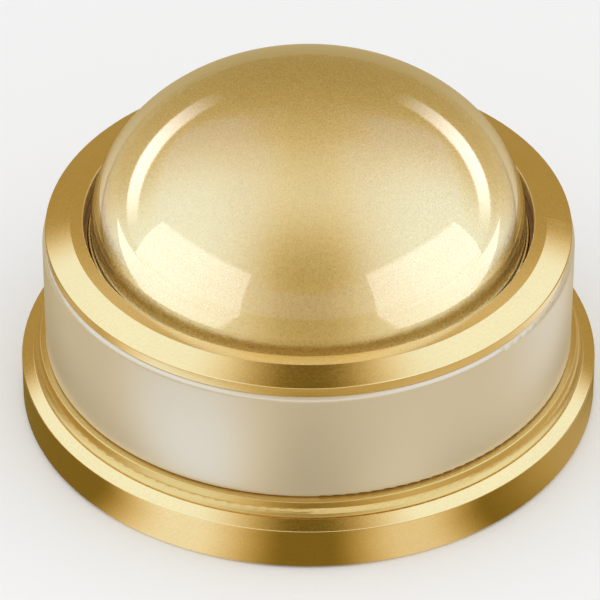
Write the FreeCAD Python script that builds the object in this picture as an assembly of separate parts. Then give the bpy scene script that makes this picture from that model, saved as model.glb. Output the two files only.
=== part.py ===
import FreeCAD, Part
import math
import os

# Large free-standing dome push button: turned base, ivory drum, bezel, clear dome over a gold cup,
# and a sprung plunger that presses a small lever switch inside the drum.
# Millimetres. The origin is the centre of the underside, +Z is up, the front faces -Y.

Vector = FreeCAD.Vector

# Base flange and the foot under it
base_radius = 50.0
flange_height = 8.0
flange_chamfer_width = 2.0
flange_chamfer_rise = 1.1
foot_stand = 0.4
foot_thickness = 1.6
foot_inset = 1.8
foot_width = 3.6
foot_groove_wall = 0.85

# Stepped ring with the hollow moulding above the flange
cove_inset = 2.15
cove_step = 1.0
cove_height = 2.75
cove_lip_height = 0.35
cove_hollow = 1.2
spigot_height = 2.65

# Drum
drum_inset = 1.15
drum_wall = 2.5
drum_height = 21.15
drum_top_round = 0.95
drum_foot_round = 0.5

# Bezel
bezel_inset = 0.5
bezel_lip_height = 1.8
bezel_chamfer_width = 4.35
bezel_chamfer_rise = 1.45
bezel_facet_width = 2.25
bezel_facet_rise = 0.25
bezel_plate = 2.6
skirt_depth = 3.5
skirt_wall = 1.4

# Clear dome, gold cup and the carrier that they sit on
dome_gap = 1.3
dome_rise = 25.7
dome_wall_height = 3.8
dome_sheet = 1.6
cup_gap = 0.4
cup_sheet = 1.2
collar_sheet = 0.4
collar_height = 2.2
carrier_plate = 2.5
carrier_rim_height = 1.8
cushion_thickness = 1.0
well_ball_radius = 22.3
well_radius = 12.2
well_wall = 2.0
stem_radius = 6.0
nub_radius = 1.5
nub_length = 1.9
travel = 4.5

# Chassis
chassis_floor = 2.5
tower_roof = 2.0
tower_leg_width = 3.0
tower_leg_length = 12.0
tower_height = 9.4
guide_wall = 1.1
bush_wall = 1.5
bush_flange = 0.8

# Return spring
spring_wire = 1.2
spring_turns = 5.5

# Lever switch, standing upright with its lever under the plunger
case_length = 19.8
case_width = 6.4
case_height = 9.6
case_drop = 5.5
lever_arm = 20.5
lever_tail = 2.5
lever_width = 3.8
lever_sheet = 0.4
lever_lift = 0.3
lever_slope = 8.0
pivot_radius = 0.5
pivot_rise = 1.4
pivot_inset = 3.3
knuckle_radius = 1.0
ear_height = 2.6
ear_length = 2.4
pin_radius = 0.9
pin_arm = 4.5
pin_length = 4.0
pin_stand = 1.9
pin_travel = 1.0
switch_wall = 2.6
switch_wall_drop = 5.0
switch_wall_length = 17.0
switch_hole_spacing = 9.5
switch_hole_height = 2.8
terminal_width = 3.0
terminal_sheet = 0.5
terminal_length = 4.2
terminal_spacing = 7.3
terminal_hole_radius = 0.7

# Bottom plate and its fittings
plate_thickness = 2.4
plate_recess = 0.8
insert_radius = 2.9
insert_hole_radius = 2.0
insert_length = 5.2
insert_edge_gap = 2.95
insert_count = 4
insert_boss_wall = 1.7
cable_hole_radius = 4.5
cable_hole_offset = 22.0
grommet_wall = 1.45
grommet_flange = 1.9
grommet_flange_thickness = 0.8

# Screws
tie_count = 3
tie_radius = 1.25
tie_head_radius = 2.25
tie_head_height = 1.6
tie_head_depth = 2.4
tie_head_wall = 0.85
tie_bite = 9.0
post_wall = 0.9
plate_screw_length = 6.0
plate_screw_head = 0.9
switch_screw_radius = 1.0
switch_screw_head_radius = 1.9
switch_screw_head_height = 1.3
slot_width = 0.7
slot_depth = 0.6

# Clearances and small roundings
running_gap = 0.05
seat_gap = 0.05
free_gap = 0.3
swing_gap = 0.5
edge_round = 0.25
fine_round = 0.12

# Radii from the rim of the base inwards
foot_outer = base_radius - foot_inset
foot_inner = foot_outer - foot_width
plate_bore = foot_inner - foot_groove_wall
plate_radius = plate_bore - seat_gap
cove_foot_radius = base_radius - cove_inset
cove_top_radius = cove_foot_radius - cove_step
drum_radius = cove_top_radius - drum_inset
drum_bore = drum_radius - drum_wall
bezel_radius = drum_radius - bezel_inset
bezel_ridge_radius = bezel_radius - bezel_chamfer_width
bezel_bore = bezel_ridge_radius - bezel_facet_width
dome_radius = bezel_bore - dome_gap
hollow_radius = dome_radius - dome_sheet
cup_radius = hollow_radius - cup_gap
cup_inner_radius = cup_radius - cup_sheet
skirt_outer = drum_bore - seat_gap
skirt_inner = skirt_outer - skirt_wall
post_radius = tie_radius + seat_gap + post_wall
tie_circle = skirt_outer - post_radius - seat_gap
tie_head_bore = tie_head_radius + free_gap
base_bore = tie_circle - tie_head_bore - tie_head_wall
plate_screw_circle = 0.5 * (base_bore + plate_radius)
insert_boss_radius = insert_radius + insert_boss_wall
insert_circle = base_bore - insert_boss_radius - insert_edge_gap
carrier_radius = skirt_inner - swing_gap
collar_bore = dome_radius + seat_gap
collar_radius = collar_bore + collar_sheet
rim_bore = collar_radius + 0.5 * free_gap
well_outer = well_radius + well_wall
tower_radius = well_radius - swing_gap
guide_bore = stem_radius + running_gap
bush_radius = guide_bore + bush_wall
guide_radius = bush_radius + guide_wall
spring_radius = 0.5 * (guide_radius + tower_radius)

# Heights from the underside upwards
plate_bottom = foot_stand + plate_recess
plate_top = plate_bottom + plate_thickness
flange_top = flange_height + flange_chamfer_rise
cove_top = flange_top + cove_height
spigot_top = cove_top + spigot_height
chassis_top = spigot_top + chassis_floor
drum_top = cove_top + drum_height
bezel_ridge = drum_top + bezel_lip_height + bezel_chamfer_rise
bezel_top = bezel_ridge + bezel_facet_rise
bezel_under = bezel_top - bezel_plate
cushion_top = bezel_under - free_gap
rim_top = cushion_top - cushion_thickness
carrier_seat = rim_top - carrier_rim_height
carrier_bottom = carrier_seat - carrier_plate
cup_top = carrier_seat + cup_sheet
collar_top = cup_top + collar_height
dome_shoulder = cup_top + dome_wall_height
hollow_rise = dome_rise - dome_sheet
cup_rise = hollow_rise - cup_gap
cup_inner_rise = cup_rise - cup_sheet
well_share = math.sqrt(1.0 - (well_outer / well_ball_radius) ** 2)
well_top = cup_top + well_ball_radius * well_share - swing_gap
well_ceiling = well_top - well_wall
tower_roof_top = chassis_top + tower_height
tower_roof_bottom = tower_roof_top - tower_roof
guide_top = well_ceiling - travel - bush_flange - swing_gap

# The switch, from its case out to the lever's tip
case_bottom = spigot_top - case_drop
case_top = case_bottom + case_height
case_end = lever_arm + pivot_inset
case_start = case_end - case_length
case_middle = 0.5 * (case_start + case_end)
pivot_height = case_top + pivot_rise
lever_top = pivot_height + lever_lift + lever_sheet
lever_reach = lever_arm + nub_radius
nub_bottom = lever_top + lever_reach * math.tan(math.radians(lever_slope)) + free_gap

# Angles of the fixings about the axis
tie_angles = [90.0 + 360.0 * k / tie_count for k in range(tie_count)]
plate_screw_angles = [angle + 180.0 / tie_count for angle in tie_angles]
insert_angles = [45.0 + 360.0 * k / insert_count for k in range(insert_count)]


def rounded_outline(corners):
    """A closed outline in the XZ plane. Each corner is its radius, its height and its rounding."""
    trims = []
    for index, (radius, height, rounding) in enumerate(corners):
        here = Vector(radius, 0, height)
        last = corners[index - 1]
        following = corners[(index + 1) % len(corners)]
        back = (Vector(last[0], 0, last[1]) - here).normalize()
        ahead = (Vector(following[0], 0, following[1]) - here).normalize()
        if rounding == 0:
            trims.append((here, None, here))
            continue
        half = 0.5 * back.getAngle(ahead)
        setback = rounding / math.tan(half)
        bisector = (back + ahead).normalize()
        middle = here + bisector * (rounding / math.sin(half) - rounding)
        trims.append((here + back * setback, middle, here + ahead * setback))
    edges = []
    for index, (start, middle, end) in enumerate(trims):
        if middle is not None:
            edges.append(Part.Arc(start, middle, end).toShape())
        goal = trims[(index + 1) % len(trims)][0]
        edges.append(Part.LineSegment(end, goal).toShape())
    return Part.Wire(edges)


def spun(wire):
    """The solid that a closed outline makes when it is turned about the axis."""
    solid = Part.Face(wire).revolve(Vector(0, 0, 0), Vector(0, 0, 1), 360)
    if solid.Volume < 0:
        solid.reverse()
    return solid


def turned(corners):
    """A turned piece from its section."""
    return spun(rounded_outline(corners))


def rod(radius, low, high, x=0.0, y=0.0):
    """An upright cylinder between two heights."""
    return Part.makeCylinder(radius, high - low, Vector(x, y, low))


def sleeve(outer, inner, low, high):
    """A plain tube between two heights."""
    return rod(outer, low, high).cut(rod(inner, low, high))


def cross_rod(radius, left, right, x, z):
    """A cylinder that lies along Y."""
    return Part.makeCylinder(radius, right - left, Vector(x, left, z), Vector(0, 1, 0))


def block(x_range, y_range, z_range):
    """A box between pairs of coordinates."""
    size = [high - low for low, high in (x_range, y_range, z_range)]
    return Part.makeBox(*size, Vector(x_range[0], y_range[0], z_range[0]))


def places(circle_radius, angles):
    """Points on a circle about the axis."""
    points = []
    for angle in angles:
        turn = math.radians(angle)
        points.append((circle_radius * math.cos(turn), circle_radius * math.sin(turn)))
    return points


def screw(radius, head_radius, bearing, head_height, tip, x, y):
    """An upright screw with its head below: a cross recess in the head, a bevelled tip on the shank."""
    head_bottom = bearing - head_height
    head = rod(head_radius, head_bottom, bearing, x, y)
    shank = rod(radius, bearing, tip - radius, x, y)
    point = Part.makeCone(radius, 0.5 * radius, radius, Vector(x, y, tip - radius))
    arm = 0.7 * head_radius
    recess_z = (head_bottom, head_bottom + slot_depth)
    half = 0.5 * slot_width
    recess = block((x - arm, x + arm), (y - half, y + half), recess_z)
    recess = recess.fuse(block((x - half, x + half), (y - arm, y + arm), recess_z))
    return head.cut(recess).fuse(shank).fuse(point)


def make_base_ring():
    """Flange with a chamfered shoulder, a groove for the foot and counterbored tie holes."""
    chamfer_inner = base_radius - flange_chamfer_width
    ring = turned([
        (plate_bore, foot_stand, 0),
        (foot_inner, foot_stand, 0),
        (foot_inner, foot_thickness, 0),
        (foot_outer, foot_thickness, 0),
        (foot_outer, foot_stand, 0),
        (base_radius, foot_stand, edge_round),
        (base_radius, flange_height, edge_round),
        (chamfer_inner, flange_top, edge_round),
        (base_bore, flange_top, fine_round),
        (base_bore, plate_top, fine_round),
        (plate_bore, plate_top, 0),
    ])
    for x, y in places(tie_circle, tie_angles):
        ring = ring.cut(rod(tie_radius + seat_gap, plate_top, flange_top, x, y))
        ring = ring.cut(rod(tie_head_bore, plate_top, plate_top + tie_head_depth, x, y))
    for x, y in places(plate_screw_circle, plate_screw_angles):
        ring = ring.cut(rod(tie_radius + seat_gap, plate_top, plate_bottom + plate_screw_length, x, y))
    return ring


def make_foot_ring():
    """Rubber ring that the button stands on, seated in the groove under the flange."""
    inner = foot_inner + seat_gap
    outer = foot_outer - seat_gap
    return turned([
        (inner, 0, edge_round),
        (outer, 0, edge_round),
        (outer, foot_thickness, 0),
        (inner, foot_thickness, 0),
    ])


def make_cove_ring():
    """Stepped ring with a hollow moulding, a ledge for the drum and a spigot inside the drum."""
    lip_top = flange_top + cove_lip_height
    hollow_radius = cove_top_radius + 0.2 * (cove_foot_radius - cove_top_radius)
    hollow_height = lip_top + 0.25 * (cove_top - lip_top)
    spigot_radius = drum_bore - seat_gap
    ring = turned([
        (base_bore, flange_top, fine_round),
        (cove_foot_radius, flange_top, fine_round),
        (cove_foot_radius, lip_top, fine_round),
        (hollow_radius, hollow_height, cove_hollow),
        (cove_top_radius, cove_top, edge_round),
        (spigot_radius, cove_top, 0),
        (spigot_radius, spigot_top, edge_round),
        (base_bore, spigot_top, fine_round),
    ])
    for x, y in places(tie_circle, tie_angles):
        ring = ring.cut(rod(tie_radius + seat_gap, flange_top, spigot_top, x, y))
    return ring


def make_drum():
    """Plain round wall between the stepped ring and the bezel."""
    return turned([
        (drum_bore, cove_top, 0),
        (drum_radius, cove_top, drum_foot_round),
        (drum_radius, drum_top, drum_top_round),
        (drum_bore, drum_top, 0),
    ])


def make_bezel_ring():
    """Chamfered ring round the dome, with a skirt in the drum and posts for the tie screws."""
    lip_top = drum_top + bezel_lip_height
    skirt_bottom = drum_top - skirt_depth
    ring = turned([
        (skirt_outer, drum_top, 0),
        (bezel_radius, drum_top, fine_round),
        (bezel_radius, lip_top, edge_round),
        (bezel_ridge_radius, bezel_ridge, edge_round),
        (bezel_bore, bezel_top, edge_round),
        (bezel_bore, bezel_under, fine_round),
        (skirt_inner, bezel_under, 0),
        (skirt_inner, skirt_bottom, 0),
        (skirt_outer, skirt_bottom, 0),
    ])
    for x, y in places(tie_circle, tie_angles):
        ring = ring.fuse(rod(post_radius, chassis_top, bezel_under + edge_round, x, y))
    for x, y in places(tie_circle, tie_angles):
        ring = ring.cut(rod(tie_radius + seat_gap, chassis_top, chassis_top + tie_bite + free_gap, x, y))
    return ring.removeSplitter()


def cut_post_notches(piece):
    """Notches that let a sliding piece pass the bezel's posts, which keep it from turning."""
    for x, y in places(tie_circle, tie_angles):
        piece = piece.cut(rod(post_radius + free_gap, carrier_bottom, bezel_top, x, y))
    return piece


def quarter_ellipse(radius, rise, centre_height):
    """The curve of a dome's section, from its foot up to the axis, as a rational quadratic."""
    foot = Vector(radius, 0, centre_height)
    corner = Vector(radius, 0, centre_height + rise)
    crown = Vector(0, 0, centre_height + rise)
    curve = Part.BSplineCurve()
    weights = [1.0, math.sqrt(0.5), 1.0]
    curve.buildFromPolesMultsKnots([foot, corner, crown], [3, 3], [0.0, 1.0], False, 2, weights)
    return curve.toShape()


def straight(points):
    """Straight edges through points of the section."""
    edges = []
    for (radius, height), (next_radius, next_height) in zip(points, points[1:]):
        start = Vector(radius, 0, height)
        end = Vector(next_radius, 0, next_height)
        edges.append(Part.LineSegment(start, end).toShape())
    return edges


def make_dome_lens():
    """Clear dome with an even wall, which stands over the gold cup with a thin gap of air."""
    foot = straight([
        (hollow_radius, dome_shoulder),
        (hollow_radius, cup_top),
        (dome_radius, cup_top),
        (dome_radius, dome_shoulder),
    ])
    outside = quarter_ellipse(dome_radius, dome_rise, dome_shoulder)
    axis = straight([(0, dome_shoulder + dome_rise), (0, dome_shoulder + hollow_rise)])
    inside = quarter_ellipse(hollow_radius, hollow_rise, dome_shoulder)
    return spun(Part.Wire(foot + [outside] + axis + [inside]))


def make_gold_cup():
    """Spun gold cup that shows through the dome, with a brim and a collar round the dome's foot."""
    roll = 0.5 * collar_sheet
    roll_height = collar_top - roll
    underside = straight([
        (cup_inner_radius, dome_shoulder),
        (cup_inner_radius, carrier_seat),
        (collar_radius, carrier_seat),
        (collar_radius, roll_height),
    ])
    rolled_edge = Part.Arc(
        Vector(collar_radius, 0, roll_height),
        Vector(collar_radius - roll, 0, collar_top),
        Vector(collar_bore, 0, roll_height),
    ).toShape()
    brim = straight([
        (collar_bore, roll_height),
        (collar_bore, cup_top),
        (cup_radius, cup_top),
        (cup_radius, dome_shoulder),
    ])
    outside = quarter_ellipse(cup_radius, cup_rise, dome_shoulder)
    axis = straight([(0, dome_shoulder + cup_rise), (0, dome_shoulder + cup_inner_rise)])
    inside = quarter_ellipse(cup_inner_radius, cup_inner_rise, dome_shoulder)
    return spun(Part.Wire(underside + [rolled_edge] + brim + [outside] + axis + [inside]))


def make_carrier():
    """Plunger moulding: rimmed plate under the dome, a spring well and the guided stem."""
    stem_bottom = nub_bottom + nub_length
    body = turned([
        (0, well_top, 0),
        (well_outer, well_top, edge_round),
        (well_outer, carrier_seat, edge_round),
        (rim_bore, carrier_seat, 0),
        (rim_bore, rim_top, 0),
        (carrier_radius, rim_top, edge_round),
        (carrier_radius, carrier_bottom, edge_round),
        (well_radius, carrier_bottom, edge_round),
        (well_radius, well_ceiling, edge_round),
        (stem_radius, well_ceiling, edge_round),
        (stem_radius, stem_bottom, edge_round),
        (nub_radius, stem_bottom, 0),
        (nub_radius, nub_bottom, edge_round),
        (0, nub_bottom, 0),
    ])
    return cut_post_notches(body)


def make_cushion_ring():
    """Rubber ring on the carrier's rim that stops the return stroke quietly."""
    outer = carrier_radius - seat_gap
    ring = sleeve(outer, rim_bore + seat_gap, rim_top, cushion_top)
    return cut_post_notches(ring)


def make_chassis():
    """Moulded floor with a tower for the plunger's guide and a wall for the switch."""
    floor = rod(drum_bore - free_gap, spigot_top, chassis_top)
    side = 0.5 * case_width
    window_x = (-lever_tail - swing_gap, case_end + swing_gap)
    window_y = (-side - switch_screw_head_height - swing_gap, side)
    floor = floor.cut(block(window_x, window_y, (spigot_top, chassis_top)))
    wall_x = (case_middle - 0.5 * switch_wall_length, case_middle + 0.5 * switch_wall_length)
    wall_y = (side, side + switch_wall)
    chassis = floor.fuse(block(wall_x, wall_y, (spigot_top - switch_wall_drop, spigot_top)))
    half_leg = 0.5 * tower_leg_length
    leg_inner = guide_bore + swing_gap
    for facing in (-1, 1):
        leg_y = sorted((facing * leg_inner, facing * (leg_inner + tower_leg_width)))
        chassis = chassis.fuse(block((-half_leg, half_leg), leg_y, (chassis_top, tower_roof_bottom)))
    chassis = chassis.fuse(rod(tower_radius, tower_roof_bottom, tower_roof_top))
    chassis = chassis.fuse(rod(guide_radius, tower_roof_top, guide_top))
    chassis = chassis.cut(rod(bush_radius + seat_gap, tower_roof_bottom, guide_top))
    for x, y in places(tie_circle, tie_angles):
        chassis = chassis.cut(rod(tie_radius + seat_gap, spigot_top, chassis_top, x, y))
    for x in switch_screw_places():
        height = case_bottom + switch_hole_height
        chassis = chassis.cut(cross_rod(switch_screw_radius + seat_gap, *wall_y, x, height))
    return chassis.removeSplitter()


def make_guide_bush():
    """Flanged bush that the stem slides in."""
    body = rod(bush_radius, tower_roof_bottom, guide_top)
    body = body.fuse(rod(guide_radius, guide_top, guide_top + bush_flange))
    return body.cut(rod(guide_bore, tower_roof_bottom, guide_top + bush_flange))


def make_return_spring():
    """Open coil spring between the tower's roof and the well's ceiling."""
    low = tower_roof_top + 0.5 * spring_wire
    high = well_ceiling - free_gap - 0.5 * spring_wire
    path = Part.makeHelix((high - low) / spring_turns, high - low, spring_radius)
    path.translate(Vector(0, 0, low))
    section = Part.Wire(Part.makeCircle(0.5 * spring_wire, Vector(spring_radius, 0, low), Vector(0, 1, 0)))
    return Part.Wire(path).makePipeShell([section], True, True)


def switch_screw_places():
    """Where the two switch screws pass through the case, along X."""
    return (case_middle - 0.5 * switch_hole_spacing, case_middle + 0.5 * switch_hole_spacing)


def make_switch_case():
    """Sealed switch body with ears for the lever's pivot and a hole for its pin."""
    side = 0.5 * case_width
    case = block((case_start, case_end), (-side, side), (case_bottom, case_top))
    upright = [edge for edge in case.Edges if abs(edge.tangentAt(edge.FirstParameter).z) > 0.9]
    case = case.makeFillet(edge_round, upright)
    ear_x = (lever_arm - 0.5 * ear_length, lever_arm + 0.5 * ear_length)
    ear_inner = 0.5 * lever_width + free_gap
    for ear_y in ((-side, -ear_inner), (ear_inner, side)):
        case = case.fuse(block(ear_x, ear_y, (case_top - edge_round, case_top + ear_height)))
    case = case.cut(cross_rod(pivot_radius + seat_gap, -side, side, lever_arm, pivot_height))
    pin_bottom = case_top + pin_stand - pin_length - pin_travel - swing_gap
    case = case.cut(rod(pin_radius + running_gap, pin_bottom, case_top, lever_arm - pin_arm))
    for x in switch_screw_places():
        hole_height = case_bottom + switch_hole_height
        case = case.cut(cross_rod(switch_screw_radius + seat_gap, -side, side, x, hole_height))
    return case.removeSplitter()


def make_switch_pin():
    """Small plastic pin that the lever pushes into the case."""
    top = case_top + pin_stand
    return rod(pin_radius, top - pin_length, top, lever_arm - pin_arm)


def make_switch_lever():
    """Sprung steel lever on its knuckle, sloping up to meet the plunger's nub."""
    half = 0.5 * lever_width
    strip_z = (pivot_height + lever_lift, lever_top)
    lever = block((-lever_tail, lever_arm), (-half, half), strip_z)
    ends = [edge for edge in lever.Edges if edge.CenterOfMass.x < 0 and edge.Length < 2 * lever_sheet]
    lever = lever.makeFillet(0.4 * lever_width, ends)
    lever = lever.fuse(cross_rod(knuckle_radius, -half, half, lever_arm, pivot_height))
    lever = lever.cut(cross_rod(pivot_radius + running_gap, -half, half, lever_arm, pivot_height))
    lever.rotate(Vector(lever_arm, 0, pivot_height), Vector(0, 1, 0), lever_slope)
    return lever


def make_lever_pivot():
    """Pin through the ears and the lever's knuckle."""
    side = 0.5 * case_width
    return cross_rod(pivot_radius, -side, side, lever_arm, pivot_height)


def make_switch_terminals():
    """Three solder blades under the case."""
    blades = []
    low = case_bottom - terminal_length
    half_sheet = 0.5 * terminal_sheet
    for step in (-1, 0, 1):
        x = case_middle + step * terminal_spacing
        blade_x = (x - 0.5 * terminal_width, x + 0.5 * terminal_width)
        blade = block(blade_x, (-half_sheet, half_sheet), (low, case_bottom))
        eye_height = low + 2 * terminal_hole_radius
        blades.append(blade.cut(cross_rod(terminal_hole_radius, -half_sheet, half_sheet, x, eye_height)))
    return Part.makeCompound(blades)


def make_switch_screws():
    """Two screws that hold the switch to the chassis wall."""
    side = 0.5 * case_width
    height = case_bottom + switch_hole_height
    screws = []
    for x in switch_screw_places():
        upright = screw(switch_screw_radius, switch_screw_head_radius, 0, switch_screw_head_height,
                        case_width + switch_wall, 0, 0)
        upright.rotate(Vector(0, 0, 0), Vector(1, 0, 0), -90)
        upright.translate(Vector(x, -side, height))
        screws.append(upright)
    return Part.makeCompound(screws)


def make_bottom_plate():
    """Plate that closes the base, with bosses for the threaded inserts and a cable hole."""
    plate = rod(plate_radius, plate_bottom, plate_top)
    boss_top = plate_bottom + insert_length
    for x, y in places(insert_circle, insert_angles):
        plate = plate.fuse(rod(insert_boss_radius, plate_bottom, boss_top, x, y))
    for x, y in places(insert_circle, insert_angles):
        plate = plate.cut(rod(insert_radius + 0.5 * seat_gap, plate_bottom, boss_top, x, y))
    for x, y in places(plate_screw_circle, plate_screw_angles):
        plate = plate.cut(rod(tie_radius + seat_gap, plate_bottom, plate_top, x, y))
    neck = cable_hole_radius + grommet_wall + seat_gap
    return plate.cut(rod(neck, plate_bottom, plate_top, 0, cable_hole_offset)).removeSplitter()


def make_cable_grommet():
    """Rubber grommet in the bottom plate's cable hole."""
    neck = cable_hole_radius + grommet_wall
    flange = neck + grommet_flange
    low = plate_bottom - grommet_flange_thickness
    high = plate_top + grommet_flange_thickness
    grommet = turned([
        (cable_hole_radius, low, 0),
        (flange, low, edge_round),
        (flange, plate_bottom, 0),
        (neck, plate_bottom, 0),
        (neck, plate_top, 0),
        (flange, plate_top, 0),
        (flange, high, edge_round),
        (cable_hole_radius, high, 0),
    ])
    grommet.translate(Vector(0, cable_hole_offset, 0))
    return grommet


def make_mount_inserts():
    """Threaded brass inserts that take the fixing bolts from below."""
    top = plate_bottom + insert_length
    inserts = []
    for x, y in places(insert_circle, insert_angles):
        body = rod(insert_radius, plate_bottom, top, x, y)
        inserts.append(body.cut(rod(insert_hole_radius, plate_bottom, top, x, y)))
    return Part.makeCompound(inserts)


def make_tie_screws():
    """Long screws that clamp the base, the stepped ring, the chassis and the bezel together."""
    bearing = plate_top + tie_head_depth
    tip = chassis_top + tie_bite
    screws = []
    for x, y in places(tie_circle, tie_angles):
        screws.append(screw(tie_radius, tie_head_radius, bearing, tie_head_height, tip, x, y))
    return Part.makeCompound(screws)


def make_plate_screws():
    """Short screws that hold the bottom plate to the base ring."""
    tip = plate_bottom + plate_screw_length - free_gap
    screws = []
    for x, y in places(plate_screw_circle, plate_screw_angles):
        screws.append(screw(tie_radius, tie_head_radius, plate_bottom, plate_screw_head, tip, x, y))
    return Part.makeCompound(screws)


pieces = {
    "base_ring": make_base_ring,
    "foot_ring": make_foot_ring,
    "bottom_plate": make_bottom_plate,
    "plate_screws": make_plate_screws,
    "mount_inserts": make_mount_inserts,
    "cable_grommet": make_cable_grommet,
    "cove_ring": make_cove_ring,
    "drum": make_drum,
    "bezel_ring": make_bezel_ring,
    "tie_screws": make_tie_screws,
    "chassis": make_chassis,
    "guide_bush": make_guide_bush,
    "return_spring": make_return_spring,
    "carrier": make_carrier,
    "cushion_ring": make_cushion_ring,
    "gold_cup": make_gold_cup,
    "dome_lens": make_dome_lens,
    "switch_case": make_switch_case,
    "switch_pin": make_switch_pin,
    "switch_lever": make_switch_lever,
    "lever_pivot": make_lever_pivot,
    "switch_terminals": make_switch_terminals,
    "switch_screws": make_switch_screws,
}

os.makedirs("parts", exist_ok=True)
for name, make in pieces.items():
    make().exportStep("parts/" + name + ".step")
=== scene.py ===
import math

import bmesh
import bpy
from mathutils import Matrix, Quaternion, Vector


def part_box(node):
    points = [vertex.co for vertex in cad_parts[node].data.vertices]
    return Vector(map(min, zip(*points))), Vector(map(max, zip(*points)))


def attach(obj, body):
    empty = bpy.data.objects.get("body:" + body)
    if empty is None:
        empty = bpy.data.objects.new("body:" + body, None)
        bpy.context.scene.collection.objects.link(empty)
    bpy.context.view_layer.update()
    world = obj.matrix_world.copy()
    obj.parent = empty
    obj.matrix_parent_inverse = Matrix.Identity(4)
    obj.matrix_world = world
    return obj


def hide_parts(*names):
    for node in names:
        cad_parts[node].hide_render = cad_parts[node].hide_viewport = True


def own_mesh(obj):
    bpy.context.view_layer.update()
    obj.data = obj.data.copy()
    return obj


bl_info = {
    "name": "Dome push button",
    "version": (1, 0, 0),
    "blender": (4, 5, 0),
    "location": "3D View > Sidebar > Button",
    "description": "Finishes of a dome push button with a gold base, an ivory drum and a clear dome",
    "category": "Object",
}

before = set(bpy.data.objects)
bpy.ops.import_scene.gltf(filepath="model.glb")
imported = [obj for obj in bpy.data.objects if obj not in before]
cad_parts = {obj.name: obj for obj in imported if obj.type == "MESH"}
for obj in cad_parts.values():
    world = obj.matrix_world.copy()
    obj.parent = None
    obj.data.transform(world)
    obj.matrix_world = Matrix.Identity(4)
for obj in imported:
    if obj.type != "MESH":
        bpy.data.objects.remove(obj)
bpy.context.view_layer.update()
dome_low, dome_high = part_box("dome_lens")
spring_low, spring_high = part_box("return_spring")

FULL_TURN = 2.0 * math.pi
UP = Vector((0.0, 0.0, 1.0))
MERGE_DISTANCE = 1e-7

# Soft cards on the floor: brightness, then the middle and half the width in degrees from the front.
FLANGE_CARDS = ((0.78, -25.0, 21.0), (0.58, 20.5, 17.0), (0.20, 62.0, 26.0))
DRUM_CARDS = ((1.05, -26.0, 27.0), (0.34, -62.0, 36.0), (0.48, 27.0, 30.0), (0.76, 66.0, 34.0))
BACK_CARD = (0.20, 110.0, 30.0)

# Distances from the axis between which the cards for one piece give way to what lies beyond.
FLANGE_CARDS_END = (0.058, 0.066)
DRUM_CARDS_END = (0.0835, 0.0885)


def length_property(name, description, default):
    """A size in metres that shows in the sidebar."""
    return bpy.props.FloatProperty(
        name=name, description=description, default=default, unit="LENGTH", precision=5
    )


def angle_property(name, description, degrees):
    """An angle that shows in the sidebar in degrees."""
    return bpy.props.FloatProperty(
        name=name, description=description, default=math.radians(degrees), subtype="ANGLE"
    )


def level_property(name, description, default):
    """A plain number, such as a brightness."""
    return bpy.props.FloatProperty(name=name, description=description, default=default, precision=3)


def colour_property(name, description, default):
    """A linear colour that shows as a swatch."""
    return bpy.props.FloatVectorProperty(
        name=name, description=description, default=default, subtype="COLOR", size=3, min=0.0, max=1.0
    )


class ButtonSizes(bpy.types.PropertyGroup):
    """Sizes of the pieces that are modelled here."""

    dome_radius: length_property("Dome radius", "Radius of the clear dome at its shoulder", dome_high.x)
    dome_wall: length_property("Dome wall", "Height of the dome's upright wall", 0.0038)
    dome_sheet: length_property("Dome sheet", "Thickness of the clear dome", 0.0016)
    dome_edge: length_property("Dome edge", "Rounding of the dome's foot", 0.00025)
    contact: length_property("Contact", "How far the dome's foot presses into the cup's brim", 0.00005)
    bore_gap: length_property("Bore gap", "From the dome to the bezel's bore and its edge", 0.0014)
    bore_blend: length_property("Bore blend", "Over which the bore's finish ends", 0.0002)
    flare_height: length_property("Flare height", "Height of the flare above the dome's foot", 0.0080)
    flare_bend: level_property("Flare bend", "How fast the flare turns outwards", 45.0)
    spring_wire: length_property("Spring wire", "Thickness of the return spring's wire", 0.0012)
    spring_turns: level_property("Spring turns", "Turns of the return spring", 5.5)
    travel: length_property("Travel", "How far the dome goes down when it is pressed", 0.0045)


class ButtonColours(bpy.types.PropertyGroup):
    """Colours of the finishes, as linear values."""

    gold: colour_property("Gold", "Turned and lacquered gold of the rings", (0.90, 0.68, 0.29))
    # Painted shade: the stepped ring's deeper colour makes its hollow darker in colour than the other
    # rings.
    cove: colour_property("Cove gold", "Deeper gold of the stepped ring", (0.80, 0.57, 0.19))
    cup_gold: colour_property("Cup gold", "Satin gold of the cup under the dome", (0.94, 0.82, 0.57))
    ivory: colour_property("Ivory", "Pearl ivory of the drum", (0.76, 0.67, 0.49))
    dome_tint: colour_property("Dome tint", "Warmth of the clear dome", (1.0, 0.95, 0.78))
    # Painted light: this paler colour, used below the dome's foot, stands for the bright light mirrored
    # there.
    painted_light_brim: colour_property("Brim", "Pale gold of the brim under the dome", (0.97, 0.88, 0.66))
    moulding: colour_property("Moulding", "Black moulded plastic", (0.020, 0.020, 0.022))
    bush: colour_property("Bush", "Natural plastic of the guide bush", (0.72, 0.69, 0.60))
    rubber: colour_property("Rubber", "Foot and grommet", (0.016, 0.016, 0.016))
    # Painted light: the cushion's brown is its own colour, made lighter because the ring sits in the
    # shade of the groove round the dome.
    cushion: colour_property("Cushion", "Brown ring that stops the return stroke", (0.36, 0.20, 0.07))
    steel: colour_property("Steel", "Screws, spring and lever", (0.56, 0.57, 0.58))
    brass: colour_property("Brass", "Threaded inserts", (0.70, 0.48, 0.18))
    tin: colour_property("Tin", "Tinned terminals", (0.74, 0.70, 0.58))
    pin_red: colour_property("Pin red", "Switch pin", (0.42, 0.02, 0.015))


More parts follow.
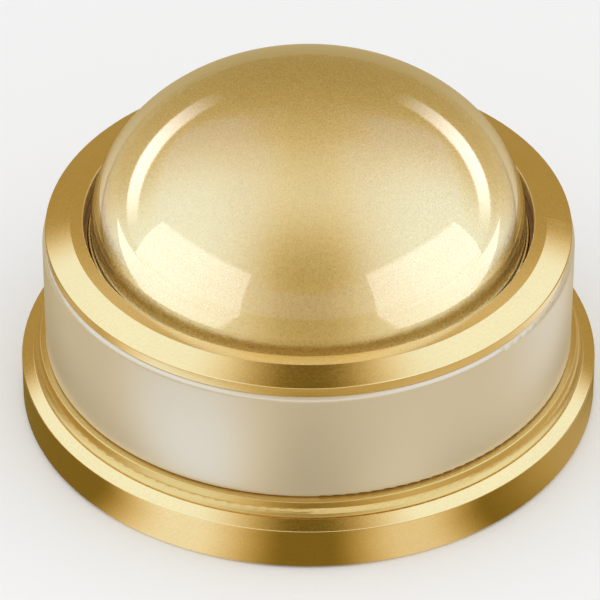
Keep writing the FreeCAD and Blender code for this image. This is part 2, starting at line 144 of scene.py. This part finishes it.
class StageSettings(bpy.types.PropertyGroup):
    """Floor, lights and camera."""

    floor: colour_property("Floor", "Pale floor", (0.913, 0.913, 0.913))
    floor_radius: length_property("Floor radius", "Radius of the floor", 8.0)
    bounces: bpy.props.IntProperty(
        name="Bounces", description="Reflections that light is followed through", default=16
    )
    plain_sky: level_property("Plain sky", "Brightness of the sky for matt surfaces", 0.80)
    dim_level: level_property("Dim level", "What the gold rings mirror away from the lights", 0.11)
    bright_level: level_property("Bright level", "What the gold rings mirror of the lights", 1.20)
    card_level: level_property("Card level", "Share of the bright level beyond the floor's cards", 0.3)
    light_distance: length_property("Light distance", "Distance of the soft boxes", 0.80)
    top_level: level_property("Top level", "Brightness of the two soft boxes overhead", 0.45)
    top_angle: angle_property("Top angle", "Middle of an overhead soft box, from the front", 62.0)
    top_rise: angle_property("Top rise", "Elevation of an overhead soft box", 55.0)
    top_side: length_property("Top side", "Side of an overhead soft box", 0.90)
    front_level: level_property("Front level", "Brightness of the front and floor lamps", 4.2)
    front_angle: angle_property("Front angle", "Where a front lamp stands, from the front", 50.0)
    front_inner: angle_property("Front inner", "Inner edge of a front lamp, from the front", 32.0)
    front_outer: angle_property("Front outer", "Outer edge of a front lamp, from the front", 96.0)
    front_top: length_property("Front top", "Height of the top of a front lamp", 0.66)
    front_foot: length_property("Front foot", "How far a front lamp reaches below the floor", 0.15)
    dome_side: length_property("Dome side", "Sideways to where the dome mirrors a lamp", 0.022)
    dome_front: length_property("Dome front", "Forwards to where the dome mirrors a lamp", 0.022)
    floor_lamp_start: length_property("Floor lamp start", "From there to a floor lamp's near end", 0.05)
    floor_lamp_lift: length_property("Floor lamp lift", "Height of a floor lamp above the floor", 0.0005)
    back_level: level_property("Back level", "Brightness of the back strips", 9.0)
    back_angle: angle_property("Back angle", "Middle of a back strip, from the front", 130.0)
    back_rise: angle_property("Back rise", "Elevation of a back strip", 19.0)
    back_spread: angle_property("Back spread", "Half the width of a back strip", 30.0)
    back_thickness: angle_property("Back thickness", "Half the height of a back strip", 6.0)
    back_roll: angle_property("Back roll", "Slope of a back strip", 17.0)
    camera_distance: length_property("Camera distance", "From the camera to the axis", 0.85)
    camera_rise: angle_property("Camera rise", "Elevation of the camera", 37.19)
    camera_aim: length_property("Camera aim", "Height on the axis that the rise is measured from", 0.028)
    focal_pixels: level_property("Focal pixels", "Focal length in pixels of the square picture", 4934.5)
    picture_side: level_property("Picture side", "Side of the square picture in pixels", 600.0)
    axis_right: level_property("Axis right", "Pixels that the axis stands right of the middle", 10.7)
    axis_up: level_property("Axis up", "Pixels that the aim stands above the middle", 44.85)
    sensor: level_property("Sensor", "Sensor width in millimetres", 36.0)


class Wire:
    """A socket of a node tree. Arithmetic on it adds Math nodes."""

    def __init__(self, tree, socket):
        self.tree = tree
        self.socket = socket

    def node(self, kind, settings, values, output=0):
        """Adds a node of that type with its settings, then its socket values and links."""
        made = self.tree.nodes.new(kind)
        for key, value in settings.items():
            setattr(made, key, value)
        for key, value in values.items():
            if isinstance(value, Wire):
                self.tree.links.new(value.socket, made.inputs[key])
            else:
                made.inputs[key].default_value = value
        return Wire(self.tree, made.outputs[output])

    def math(self, operation, first, second=0.0, third=0.0):
        """A Math node on up to three wires or numbers."""
        return self.node("ShaderNodeMath", {"operation": operation}, {0: first, 1: second, 2: third})

    def __add__(self, other):
        return self.math("ADD", self, other)

    def __radd__(self, other):
        return self.math("ADD", other, self)

    def __sub__(self, other):
        return self.math("SUBTRACT", self, other)

    def __rsub__(self, other):
        return self.math("SUBTRACT", other, self)

    def __mul__(self, other):
        return self.math("MULTIPLY", self, other)

    def __rmul__(self, other):
        return self.math("MULTIPLY", other, self)

    def __truediv__(self, other):
        return self.math("DIVIDE", self, other)

    def __pow__(self, other):
        return self.math("POWER", self, other)

    def __abs__(self):
        return self.math("ABSOLUTE", self)

    def parts(self):
        """The three numbers of a vector."""
        split = self.node("ShaderNodeSeparateXYZ", {}, {0: self})
        outputs = split.socket.node.outputs
        return [Wire(self.tree, outputs[axis]) for axis in "XYZ"]

    def step(self, low, high):
        """A smooth step from 0 at low to 1 at high."""
        settings = {"interpolation_type": "SMOOTHSTEP"}
        values = {"Value": self, "From Min": low, "From Max": high}
        return self.node("ShaderNodeMapRange", settings, values)

    def between(self, first, second):
        """A colour between two others, with this wire as the share of the second."""
        values = {0: self, 6: solid(first), 7: solid(second)}
        return self.node("ShaderNodeMix", {"data_type": "RGBA"}, values, 2)

    def noise(self, size, detail=2.0, roughness=0.5):
        """Noise with features of that size in metres, from 0 to 1."""
        values = {"Vector": self, "Scale": 1.0 / size, "Detail": detail, "Roughness": roughness}
        return self.node("ShaderNodeTexNoise", {}, values, "Fac")

    def bump(self, strength, depth):
        """A normal bent by this height."""
        return self.node("ShaderNodeBump", {}, {"Strength": strength, "Distance": depth, "Height": self})


def solid(colour):
    """A colour with its alpha of 1, or a wire as it is."""
    if isinstance(colour, Wire):
        return colour
    return (colour[0], colour[1], colour[2], 1.0)


def shade(colour, factor):
    """A colour made darker or lighter by a factor."""
    return tuple(min(1.0, channel * factor) for channel in colour)


def new_finish(name):
    """A new material and the wire of its object coordinates."""
    material = bpy.data.materials.new(name)
    material.use_nodes = True
    tree = material.node_tree
    coordinates = tree.nodes.new("ShaderNodeTexCoord")
    return material, Wire(tree, coordinates.outputs["Object"])


def set_shader(material, values):
    """Sets or links sockets of the material's main shader."""
    tree = material.node_tree
    shader = tree.nodes["Principled BSDF"]
    for key, value in values.items():
        if isinstance(value, Wire):
            tree.links.new(value.socket, shader.inputs[key])
        else:
            shader.inputs[key].default_value = value


def from_axis(x, y):
    """Distance from the axis."""
    return (x * x + y * y) ** 0.5


def turning_lines(place, spacing):
    """Fine rings about the axis, as a lathe leaves them."""
    x, y, z = place.parts()
    section = place.node("ShaderNodeCombineXYZ", {}, {"X": from_axis(x, y), "Y": z})
    return section.noise(spacing, 1.0)


def turned_gold(name, colour, roughness, sizes):
    """Lacquered gold with turning lines and a satin grain, more matt in the bore round the dome."""
    material, place = new_finish(name)
    grain = place.noise(0.00045, 3.0, 0.7).step(0.2, 0.8)
    lines = turning_lines(place, 0.00022)
    cloud = place.noise(0.012, 2.0)
    tone = 0.45 * grain + 0.25 * lines + 0.30 * cloud
    x, y, _ = place.parts()
    bore_radius = dome_high.x + sizes.bore_gap
    bore = 1.0 - from_axis(x, y).step(bore_radius, bore_radius + sizes.bore_blend)
    set_shader(material, {
        "Base Color": tone.between(shade(colour, 0.88), shade(colour, 1.12)),
        "Metallic": 1.0 - 0.4 * bore,
        "Roughness": roughness + 0.07 * grain + 0.04 * lines + 0.25 * bore,
        "Normal": (0.6 * lines + 0.4 * grain).bump(0.10, 0.00002),
        "Coat Weight": 0.25,
        "Coat Roughness": 0.05,
    })
    return material


def satin_cup_gold(colours, sizes):
    """Spun satin gold with a rolled flare at its foot, a paler colour below the dome's foot that is
    painted light, and a plain gold collar.
    """
    material, place = new_finish("satin_cup_gold")
    grain = place.noise(0.00045, 3.0, 0.75).step(0.25, 0.75)
    cloud = place.noise(0.009, 2.0)
    tone = 0.8 * grain + 0.2 * cloud
    x, y, z = place.parts()
    # Below the dome's foot the cup takes a paler colour: painted light for the bright light mirrored
    # there.
    painted_light_brim = 1.0 - z.step(dome_low.z + 0.0001, dome_low.z + 0.0008)
    collar = from_axis(x, y).step(dome_high.x - 0.0001, dome_high.x + 0.00005)
    satin = tone.between(shade(colours.cup_gold, 0.88), shade(colours.cup_gold, 1.12))
    with_brim = painted_light_brim.between(satin, tone.between(shade(colours.painted_light_brim, 0.92), colours.painted_light_brim))
    below = place.math("MAXIMUM", dome_low.z + sizes.flare_height - z, 0.0)
    flare = sizes.flare_bend * below * below
    grain_depth = 0.000003
    set_shader(material, {
        "Base Color": collar.between(with_brim, colours.gold),
        "Metallic": 1.0,
        "Roughness": 0.24 + 0.10 * grain,
        "Normal": (flare + grain_depth * grain).bump(1.0, 1.0),
    })
    return material


def pearl_ivory(colours):
    """Satin ivory with a pearl sheen."""
    material, place = new_finish("pearl_ivory")
    grain = place.noise(0.00040, 3.0, 0.7)
    cloud = place.noise(0.015, 3.0)
    tone = 0.5 * grain + 0.5 * cloud
    set_shader(material, {
        "Base Color": tone.between(shade(colours.ivory, 0.94), shade(colours.ivory, 1.05)),
        "Metallic": 0.50,
        "Roughness": 0.30 + 0.10 * grain,
        "Normal": grain.bump(0.08, 0.00002),
        "Coat Weight": 0.15,
        "Coat Roughness": 0.20,
    })
    return material


def clear_acrylic(colours):
    """Polished clear plastic with the faintest haze."""
    material, place = new_finish("clear_acrylic")
    haze = place.noise(0.004, 3.0, 0.6)
    set_shader(material, {
        "Base Color": solid(colours.dome_tint),
        "Roughness": 0.012 * haze.step(0.55, 0.85),
        "IOR": 1.49,
        "Transmission Weight": 1.0,
    })
    return material


def moulded_plastic(name, colour, roughness):
    """Moulded plastic with a fine spark-eroded texture and faint flow marks."""
    material, place = new_finish(name)
    grain = place.noise(0.00025, 3.0, 0.7)
    flow = place.noise(0.008, 3.0)
    tone = 0.5 * grain + 0.5 * flow
    set_shader(material, {
        "Base Color": tone.between(shade(colour, 0.85), shade(colour, 1.20)),
        "Roughness": (roughness - 0.08) + 0.12 * grain + 0.06 * flow,
        "Normal": grain.bump(0.25, 0.00003),
    })
    return material


def soft_rubber(name, colour):
    """Matt rubber with a dusty bloom."""
    material, place = new_finish(name)
    grain = place.noise(0.00035, 4.0, 0.7)
    bloom = place.noise(0.006, 3.0).step(0.45, 0.75)
    set_shader(material, {
        "Base Color": (0.4 * grain + 0.6 * bloom).between(shade(colour, 0.85), shade(colour, 1.7)),
        "Roughness": 0.62 + 0.16 * grain,
        "Normal": grain.bump(0.30, 0.00003),
    })
    return material


def bright_metal(name, colour, roughness):
    """Machined or drawn metal with fine marks."""
    material, place = new_finish(name)
    marks = place.noise(0.00020, 2.0, 0.6)
    stain = place.noise(0.003, 3.0)
    tone = 0.5 * marks + 0.5 * stain
    set_shader(material, {
        "Base Color": tone.between(shade(colour, 0.82), shade(colour, 1.12)),
        "Metallic": 1.0,
        "Roughness": (roughness - 0.05) + 0.12 * marks + 0.06 * stain,
        "Normal": marks.bump(0.15, 0.00002),
    })
    return material


def dress(material, *names):
    """Gives CAD nodes a finish in place of their plain one."""
    for name in names:
        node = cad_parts[name]
        for slot in node.material_slots:
            slot.material = material


def finished_piece(name, bm, material):
    """Turns a bmesh into a smooth object at the origin with that finish."""
    bmesh.ops.remove_doubles(bm, verts=bm.verts, dist=MERGE_DISTANCE)
    bmesh.ops.recalc_face_normals(bm, faces=bm.faces)
    mesh = bpy.data.meshes.new(name)
    bm.to_mesh(mesh)
    bm.free()
    for face in mesh.polygons:
        face.use_smooth = True
    mesh.materials.append(material)
    piece = bpy.data.objects.new(name, mesh)
    bpy.context.scene.collection.objects.link(piece)
    return piece


def quarter_arc(bm, radius, rise, foot, steps):
    """A quarter ellipse from a foot on +X up to the axis: its first vertex."""
    before = set(bm.verts)
    start = bm.verts.new((radius, 0.0, 0.0))
    bmesh.ops.spin(bm, geom=[start], cent=(0, 0, 0), axis=(0, -1, 0), angle=math.pi / 2, steps=steps)
    curve = [vert for vert in bm.verts if vert not in before]
    bmesh.ops.scale(bm, vec=(1, 1, rise / radius), verts=curve)
    bmesh.ops.translate(bm, vec=(0, 0, foot), verts=curve)
    return start


class BUTTON_OT_gold_rings(bpy.types.Operator):
    """Turned gold on the base, the stepped ring and the bezel"""

    bl_idname = "button.gold_rings"
    bl_label = "Gold rings"

    def execute(self, context):
        colours = context.scene.button_colours
        sizes = context.scene.button_sizes
        dress(turned_gold("turned_gold", colours.gold, 0.08, sizes), "base_ring", "bezel_ring")
        # The stepped ring's finish takes the deeper colour, painted shade for its hollow.
        dress(turned_gold("cove_gold_painted_shade", colours.cove, 0.27, sizes), "cove_ring")
        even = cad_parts["cove_ring"].modifiers.new("even_normals", "WEIGHTED_NORMAL")
        even.keep_sharp = True
        return {"FINISHED"}


class BUTTON_OT_drum(bpy.types.Operator):
    """Pearl ivory on the drum"""

    bl_idname = "button.drum"
    bl_label = "Drum"

    def execute(self, context):
        dress(pearl_ivory(context.scene.button_colours), "drum")
        return {"FINISHED"}


class BUTTON_OT_gold_cup(bpy.types.Operator):
    """Satin gold on the cup that shows through the dome"""

    bl_idname = "button.gold_cup"
    bl_label = "Gold cup"

    def execute(self, context):
        finish = satin_cup_gold(context.scene.button_colours, context.scene.button_sizes)
        dress(finish, "gold_cup")
        return {"FINISHED"}


class BUTTON_OT_dome(bpy.types.Operator):
    """Clear dome with an even wall that stands on the cup's brim"""

    bl_idname = "button.dome"
    bl_label = "Dome"

    arc_steps = 72
    turn_steps = 224

    def execute(self, context):
        sizes = context.scene.button_sizes
        foot = dome_low.z - sizes.contact
        shoulder = dome_low.z + sizes.dome_wall
        rise = dome_high.z - shoulder
        hollow = sizes.dome_radius - sizes.dome_sheet
        bm = bmesh.new()
        outer = quarter_arc(bm, sizes.dome_radius, rise, shoulder, self.arc_steps)
        inner = quarter_arc(bm, hollow, rise - sizes.dome_sheet, shoulder, self.arc_steps)
        wall_foot = bm.verts.new((sizes.dome_radius, 0, foot + sizes.dome_edge))
        wall_edge = bm.verts.new((sizes.dome_radius - sizes.dome_edge, 0, foot))
        hollow_foot = bm.verts.new((hollow, 0, foot))
        for first, second in (
            (outer, wall_foot),
            (wall_foot, wall_edge),
            (wall_edge, hollow_foot),
            (hollow_foot, inner),
        ):
            bm.edges.new((first, second))
        profile = list(bm.verts) + list(bm.edges)
        bmesh.ops.spin(
            bm, geom=profile, cent=(0, 0, 0), axis=(0, 0, 1), angle=FULL_TURN,
            steps=self.turn_steps, use_merge=True
        )
        dome = finished_piece("clear_dome", bm, clear_acrylic(context.scene.button_colours))
        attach(dome, "button")
        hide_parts("dome_lens")
        return {"FINISHED"}


class BUTTON_OT_spring(bpy.types.Operator):
    """Return spring, a coil of wire in place of the CAD spring"""

    bl_idname = "button.spring"
    bl_label = "Return spring"

    wire_sides = 16
    steps_per_turn = 48

    def execute(self, context):
        sizes = context.scene.button_sizes
        wire = 0.5 * sizes.spring_wire
        coil = spring_high.x - wire
        rise = spring_high.z - spring_low.z - sizes.spring_wire
        steps = round(sizes.spring_turns * self.steps_per_turn)
        bm = bmesh.new()
        made = bmesh.ops.create_circle(bm, cap_ends=True, radius=wire, segments=self.wire_sides)
        upright = Quaternion((1, 0, 0), math.pi / 2).to_matrix()
        bmesh.ops.rotate(bm, verts=made["verts"], cent=(0, 0, 0), matrix=upright)
        bmesh.ops.translate(bm, verts=made["verts"], vec=(coil, 0, spring_low.z + wire))
        section = list(bm.verts) + list(bm.edges) + list(bm.faces)
        bmesh.ops.spin(
            bm, geom=section, cent=(0, 0, 0), axis=(0, 0, 1), angle=FULL_TURN * sizes.spring_turns,
            steps=steps, dvec=(0, 0, rise / steps)
        )
        finish = bright_metal("spring_wire", context.scene.button_colours.steel, 0.24)
        spring = finished_piece("coil_spring", bm, finish)
        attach(spring, "housing")
        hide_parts("return_spring")
        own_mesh(spring)
        return {"FINISHED"}


class BUTTON_OT_mouldings(bpy.types.Operator):
    """Moulded plastic on the carrier, the chassis, the bottom plate and the guide bush"""

    bl_idname = "button.mouldings"
    bl_label = "Mouldings"

    def execute(self, context):
        colours = context.scene.button_colours
        black = moulded_plastic("black_moulding", colours.moulding, 0.48)
        dress(black, "carrier", "chassis", "bottom_plate")
        dress(moulded_plastic("bush_moulding", colours.bush, 0.36), "guide_bush")
        return {"FINISHED"}


class BUTTON_OT_rubber(bpy.types.Operator):
    """Rubber on the foot, the grommet and the cushion"""

    bl_idname = "button.rubber"
    bl_label = "Rubber"

    def execute(self, context):
        colours = context.scene.button_colours
        dress(soft_rubber("black_rubber", colours.rubber), "foot_ring", "cable_grommet")
        # The cushion's brown is made lighter, painted light against the groove's shade.
        dress(soft_rubber("brown_rubber", colours.cushion), "cushion_ring")
        return {"FINISHED"}


class BUTTON_OT_fixings(bpy.types.Operator):
    """Plated screws and brass inserts"""

    bl_idname = "button.fixings"
    bl_label = "Fixings"

    def execute(self, context):
        colours = context.scene.button_colours
        plated = bright_metal("plated_screws", colours.steel, 0.30)
        dress(plated, "plate_screws", "tie_screws", "switch_screws")
        dress(bright_metal("insert_brass", colours.brass, 0.28), "mount_inserts")
        return {"FINISHED"}


class BUTTON_OT_switch(bpy.types.Operator):
    """Case, pin, lever and terminals of the switch"""

    bl_idname = "button.switch"
    bl_label = "Switch"

    def execute(self, context):
        colours = context.scene.button_colours
        dress(moulded_plastic("switch_moulding", colours.moulding, 0.42), "switch_case")
        dress(moulded_plastic("switch_pin_red", colours.pin_red, 0.25), "switch_pin")
        dress(bright_metal("lever_steel", colours.steel, 0.26), "switch_lever", "lever_pivot")
        dress(bright_metal("terminal_tin", colours.tin, 0.34), "switch_terminals")
        return {"FINISHED"}


def linked(name, data):
    """A new object of the scene for a light or a camera."""
    made = bpy.data.objects.new(name, data)
    bpy.context.scene.collection.objects.link(made)
    return made


def direction(angle, rise):
    """Unit direction at an angle from the front, positive to the right, and a rise."""
    level = math.cos(rise)
    return Vector((level * math.sin(angle), -level * math.cos(angle), math.sin(rise)))


def soft_box(name, place, facing, upward, width, height, level):
    """An area light of an even brightness over its face, which no picture shows as an object."""
    lamp = bpy.data.lights.new(name, "AREA")
    lamp.shape = "RECTANGLE"
    lamp.size = width
    lamp.size_y = height
    lamp.energy = level * math.pi * width * height
    box = linked(name, lamp)
    box.location = place
    across = upward.cross(-facing).normalized()
    box.rotation_euler = Matrix((across, across.cross(facing), -facing)).transposed().to_euler()
    box.visible_camera = False
    box.visible_transmission = False
    return box


def soften(box, across_edge, up_edge):
    """Fades a lamp towards its edges, each over a share of the lamp's width or height."""
    lamp = box.data
    lamp.use_nodes = True
    tree = lamp.node_tree
    geometry = tree.nodes.new("ShaderNodeNewGeometry")
    across, up, _ = Wire(tree, geometry.outputs["Parametric"]).parts()
    sides = 0.5 - abs(across - 0.5)
    ends = 0.5 - abs(up - 0.5)
    strength = sides.step(0.0, across_edge) * ends.step(0.0, up_edge)
    tree.links.new(strength.socket, tree.nodes["Emission"].inputs["Strength"])


def only_for(box, piece):
    """Lets a lamp light one piece and no other."""
    receivers = bpy.data.collections.new(box.name + "_receivers")
    receivers.objects.link(piece)
    box.light_linking.receiver_collection = receivers
    box.visible_diffuse = False


def top_light(stage, side, word):
    """A square soft box overhead, on the left or the right, for the matt surfaces and the shadow."""
    towards = direction(side * stage.top_angle, stage.top_rise)
    place = stage.light_distance * towards
    box = soft_box("top_" + word, place, -towards, UP, stage.top_side, stage.top_side, stage.top_level)
    box.visible_glossy = False


def front_lamp(stage, side, word):
    """A tall lamp at the front, on the left or the right, that stands upright on the floor."""
    towards = direction(side * stage.front_angle, 0.0)
    sideways = direction(side * (stage.front_angle + math.pi / 2), 0.0)
    near_edge = stage.light_distance * math.tan(stage.front_inner - stage.front_angle)
    far_edge = stage.light_distance * math.tan(stage.front_outer - stage.front_angle)
    place = stage.light_distance * towards + 0.5 * (near_edge + far_edge) * sideways
    place.z = 0.5 * (stage.front_top - stage.front_foot)
    width = far_edge - near_edge
    height = stage.front_top + stage.front_foot
    box = soft_box("front_" + word, place, -towards, UP, width, height, stage.front_level)
    soften(box, 0.02, 0.10)
    return box


def floor_lamp(stage, side, word):
    """A lamp that lies on the floor and carries a front lamp's inner edge on towards the dome."""
    along = direction(side * stage.front_inner, 0.0)
    outward = direction(side * (stage.front_inner + math.pi / 2), 0.0)
    width = stage.light_distance
    length = stage.light_distance - stage.floor_lamp_start
    corner = Vector((side * stage.dome_side, -stage.dome_front, stage.floor_lamp_lift))
    place = corner + 0.5 * width * outward + (stage.floor_lamp_start + 0.5 * length) * along
    box = soft_box("floor_" + word, place, UP, along, width, length, stage.front_level)
    soften(box, 0.02, 0.01)
    return box


def back_strip(stage, side, word):
    """A sloping strip at the back, on the left or the right."""
    towards = direction(side * stage.back_angle, stage.back_rise)
    width = 2.0 * stage.light_distance * math.tan(stage.back_spread)
    height = 2.0 * stage.light_distance * math.tan(stage.back_thickness)
    place = stage.light_distance * towards
    upward = Quaternion(towards, side * stage.back_roll) @ UP
    box = soft_box("back_" + word, place, -towards, upward, width, height, stage.back_level)
    soften(box, 0.45, 0.20)
    return box


def ray_kind(place, kind):
    """1 where the ray is of that kind, and otherwise 0."""
    return place.node("ShaderNodeLightPath", {}, {}, kind)


def grey(level):
    """A neutral colour of that brightness."""
    return (level, level, level)


def warm_light(level):
    """Studio light of a brightness, warmer where it is dim."""
    dim_red = 1.5
    red_loss = 0.54
    full_blue = 1.15
    blue_fall = 1.9
    red = level * (dim_red - red_loss * level)
    blue = full_blue * level ** blue_fall
    return level.node("ShaderNodeCombineColor", {}, {"Red": red, "Green": level, "Blue": blue})


def ring_light(stage, share):
    """What the gold rings mirror: from the dim of the room to a full soft light."""
    full = share.math("MINIMUM", share, 1.0)
    return warm_light(stage.dim_level + (stage.bright_level - stage.dim_level) * full)


def cup_light(x, y):
    """What the cup mirrors in a direction: bright at the sides, dim in front and dimmer behind."""
    overhead_level = 0.89
    front_loss = 0.48
    back_loss = 0.60
    side_level = 1.15
    forward = 0.0 - y
    middle = overhead_level - front_loss * forward.step(-0.1, 0.75) - back_loss * y.step(0.05, 1.1)
    less_behind = 1.0 - 0.8 * y.step(0.2, 0.75)
    less_in_front = 1.0 - 0.25 * forward.step(0.2, 0.8)
    sides = abs(x).step(0.12, 0.75) * less_behind * less_in_front
    return warm_light(middle + (side_level - middle) * sides)


def studio_sky(stage):
    """World: what matt surfaces, metal and the cup inside the dome each see of the studio."""
    world = bpy.data.worlds.new("studio_sky")
    world.use_nodes = True
    tree = world.node_tree
    place = Wire(tree, tree.nodes.new("ShaderNodeTexCoord").outputs["Generated"])
    x, y, z = place.parts()
    back_end = 0.65
    gap = 0.10 + 0.16 * place.math("MAXIMUM", back_end - y, 0.0)
    back_middle = y.step(0.4, 0.6) * (1.0 - abs(x).step(0.15, 0.35))
    fading = (1.0 - 0.6 * back_middle) * (1.0 - y.step(back_end, 0.8))
    overhead = (abs(x) / gap).step(0.2, 1.75) * z.step(0.36, 0.52) * fading
    low_band = z.step(0.0, 0.06) * (1.0 - z.step(0.38, 0.55)) * (1.0 - y.step(0.1, 0.5))
    far_back = y.step(0.55, 0.75)
    metal = ring_light(stage, overhead + 0.9 * low_band + 0.2 * far_back)
    with_metal = ray_kind(place, "Is Glossy Ray").between(grey(stage.plain_sky), metal)
    colour = ray_kind(place, "Is Transmission Ray").between(with_metal, cup_light(x, y))
    tree.links.new(colour.socket, tree.nodes["Background"].inputs["Color"])
    bpy.context.scene.world = world


def soft_card(angle, card):
    """A card's brightness at its middle angle, falling smoothly to 0 at its width to each side."""
    level, middle, width = card
    reach = math.radians(width)
    return level * (1.0 - abs(angle - math.radians(middle)).step(0.1 * reach, reach))


def row_of_cards(angle, cards):
    """The brightness of several cards together."""
    total = soft_card(angle, cards[0])
    for card in cards[1:]:
        total = total + soft_card(angle, card)
    return total


def pale_floor(stage):
    """Floor that is plain and pale, and that shows soft cards round the object to metal."""
    bm = bmesh.new()
    bmesh.ops.create_circle(bm, cap_ends=True, radius=stage.floor_radius, segments=96)
    material, place = new_finish("pale_floor")
    cloud = place.noise(0.4, 2.0)
    set_shader(material, {
        "Base Color": cloud.between(shade(stage.floor, 0.99), stage.floor),
        "Roughness": 0.9,
        "Specular IOR Level": 0.0,
    })
    x, y, _ = place.parts()
    reach = from_axis(x, y)
    fan_start = 0.055
    fanning = 1.1 + 16.0 * place.math("MAXIMUM", reach - fan_start, 0.0)
    turn = place.math("ARCTAN2", x, 0.0 - y) / fanning
    between_cards = 0.04
    for_flange = between_cards + row_of_cards(turn, FLANGE_CARDS)
    for_drum = row_of_cards(turn, DRUM_CARDS)
    near = for_flange + reach.step(*FLANGE_CARDS_END) * (for_drum - for_flange)
    around = near + reach.step(*DRUM_CARDS_END) * (stage.card_level - near)
    cards = soft_card(abs(turn), BACK_CARD) + around
    metal_card = place.node("ShaderNodeEmission", {}, {"Color": ring_light(stage, cards)})
    cup_card = place.node("ShaderNodeEmission", {}, {"Color": cup_light(x / reach, y / reach)})
    tree = material.node_tree
    plain = Wire(tree, tree.nodes["Principled BSDF"].outputs[0])
    glossy = ray_kind(place, "Is Glossy Ray")
    through = ray_kind(place, "Is Transmission Ray")
    with_metal = place.node("ShaderNodeMixShader", {}, {0: glossy, 1: plain, 2: metal_card})
    surface = place.node("ShaderNodeMixShader", {}, {0: through, 1: with_metal, 2: cup_card})
    tree.links.new(surface.socket, tree.nodes["Material Output"].inputs["Surface"])
    material.cycles.emission_sampling = "NONE"
    floor = finished_piece("floor", bm, material)


def set_camera(stage):
    """Camera at the photograph's distance, rise and framing."""
    camera = bpy.data.cameras.new("camera")
    camera.sensor_width = stage.sensor
    camera.lens = stage.focal_pixels / stage.picture_side * stage.sensor
    camera.clip_start = 0.05
    viewer = linked("camera", camera)
    rise = stage.camera_rise
    viewer.location = (
        0.0,
        -stage.camera_distance * math.cos(rise),
        stage.camera_aim + stage.camera_distance * math.sin(rise),
    )
    tilt = math.atan(stage.axis_up / stage.focal_pixels)
    pan = math.atan(stage.axis_right / stage.focal_pixels)
    viewer.rotation_euler = (math.pi / 2 - rise - tilt, 0.0, pan)
    bpy.context.scene.camera = viewer


class BUTTON_OT_stage(bpy.types.Operator):
    """Pale floor, soft boxes, sky and camera"""

    bl_idname = "button.stage"
    bl_label = "Stage"

    def execute(self, context):
        stage = context.scene.button_stage
        context.scene.view_settings.view_transform = "Standard"
        context.scene.cycles.max_bounces = stage.bounces
        context.scene.cycles.glossy_bounces = stage.bounces
        context.scene.cycles.transmission_bounces = stage.bounces
        pale_floor(stage)
        studio_sky(stage)
        dome = bpy.data.objects["clear_dome"]
        for side, word in ((-1, "left"), (1, "right")):
            top_light(stage, side, word)
            only_for(front_lamp(stage, side, word), dome)
            only_for(floor_lamp(stage, side, word), dome)
            only_for(back_strip(stage, side, word), dome)
        set_camera(stage)
        return {"FINISHED"}


operators = (
    BUTTON_OT_gold_rings,
    BUTTON_OT_drum,
    BUTTON_OT_gold_cup,
    BUTTON_OT_dome,
    BUTTON_OT_spring,
    BUTTON_OT_mouldings,
    BUTTON_OT_rubber,
    BUTTON_OT_fixings,
    BUTTON_OT_switch,
    BUTTON_OT_stage,
)


class BUTTON_PT_sidebar(bpy.types.Panel):
    """Lists the button's pieces and its stage"""

    bl_idname = "BUTTON_PT_sidebar"
    bl_label = "Dome push button"
    bl_space_type = "VIEW_3D"
    bl_region_type = "UI"
    bl_category = "Button"

    def draw(self, context):
        for operator in operators:
            self.layout.operator(operator.bl_idname)
        scene = context.scene
        for group in (scene.button_sizes, scene.button_colours, scene.button_stage):
            for name in group.__annotations__:
                self.layout.prop(group, name)


classes = (ButtonSizes, ButtonColours, StageSettings) + operators + (BUTTON_PT_sidebar,)


def register():
    for item in classes:
        bpy.utils.register_class(item)
    bpy.types.Scene.button_sizes = bpy.props.PointerProperty(type=ButtonSizes)
    bpy.types.Scene.button_colours = bpy.props.PointerProperty(type=ButtonColours)
    bpy.types.Scene.button_stage = bpy.props.PointerProperty(type=StageSettings)


def unregister():
    del bpy.types.Scene.button_stage
    del bpy.types.Scene.button_colours
    del bpy.types.Scene.button_sizes
    for item in reversed(classes):
        bpy.utils.unregister_class(item)


def main():
    register()
    bpy.ops.button.gold_rings()
    bpy.ops.button.drum()
    bpy.ops.button.gold_cup()
    bpy.ops.button.dome()
    bpy.ops.button.spring()
    bpy.ops.button.mouldings()
    bpy.ops.button.rubber()
    bpy.ops.button.fixings()
    bpy.ops.button.switch()
    bpy.ops.button.stage()


if __name__ == "__main__":
    main()
